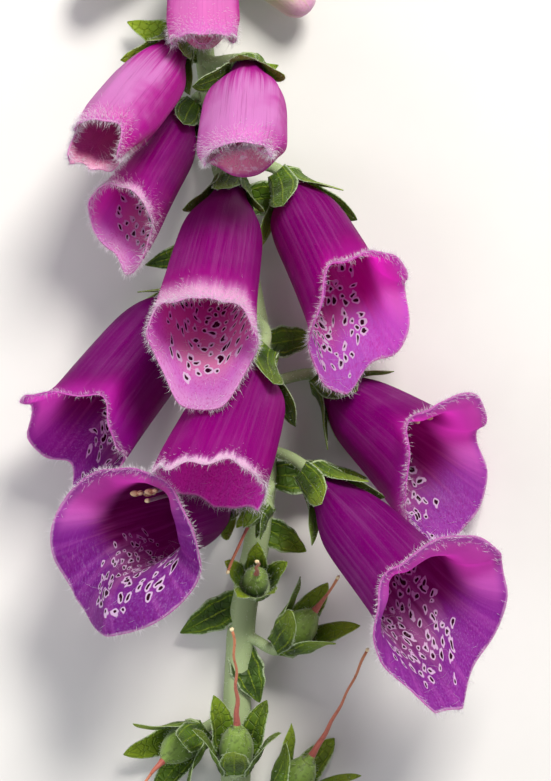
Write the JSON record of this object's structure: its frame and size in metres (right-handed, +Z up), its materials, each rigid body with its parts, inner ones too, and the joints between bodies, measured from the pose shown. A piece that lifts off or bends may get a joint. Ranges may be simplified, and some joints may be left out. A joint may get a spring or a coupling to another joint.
{
  "type": "foxglove flower spike",
  "caption": "Cut spike of foxglove lying on its back: a leafy stem with open bells in their calyxes, buds towards the tip and seed pods towards the foot.",
  "frame": {"origin": "on the table under the middle of the spike", "axes": "+Y along the stem from its cut foot to its tip, +Z up from the table, the way the bells open"},
  "size_m": [0.0948, 0.2538, 0.0582],
  "materials": {
    "stem": "dull green stem and bracts with fine down",
    "calyx": "green sepals with pale hairy edges",
    "bell": "soft magenta-purple petal, paler lips, spotted throat",
    "stamens": "cream filaments and pollen sacs",
    "pistil": "green ovary, pale style",
    "pod": "green seed pod in open sepals, brown style",
    "bud": "green bud with a pale pink tip"
  },
  "bodies": {
    "root": {"stem": "stem", "bell_01": "bell", "bell_02": "bell", "bell_03": "bell", "bell_04": "bell", "bell_05": "bell", "bell_06": "bell", "bell_07": "bell", "bell_08": "bell", "bell_09": "bell", "bell_10": "bell", "bell_11": "bell", "calyx_01": "calyx", "calyx_02": "calyx", "calyx_03": "calyx", "calyx_04": "calyx", "calyx_05": "calyx", "calyx_06": "calyx", "calyx_07": "calyx", "calyx_08": "calyx", "calyx_09": "calyx", "calyx_10": "calyx", "calyx_11": "calyx", "stamens_01": "stamens", "stamens_02": "stamens", "stamens_03": "stamens", "stamens_04": "stamens", "stamens_05": "stamens", "stamens_06": "stamens", "stamens_07": "stamens", "stamens_08": "stamens", "stamens_09": "stamens", "stamens_10": "stamens", "stamens_11": "stamens", "pistil_01": "pistil", "pistil_02": "pistil", "pistil_03": "pistil", "pistil_04": "pistil", "pistil_05": "pistil", "pistil_06": "pistil", "pistil_07": "pistil", "pistil_08": "pistil", "pistil_09": "pistil", "pistil_10": "pistil", "pistil_11": "pistil", "pod_01": "pod", "pod_02": "pod", "pod_03": "pod", "pod_04": "pod", "pod_05": "pod", "pod_06": "pod", "bud_01": "bud", "bud_02": "bud", "bud_03": "bud", "bud_04": "bud", "bud_05": "bud", "bud_06": "bud", "bud_07": "bud", "bud_08": "bud", "bud_09": "bud"}
  },
  "joints": []
}
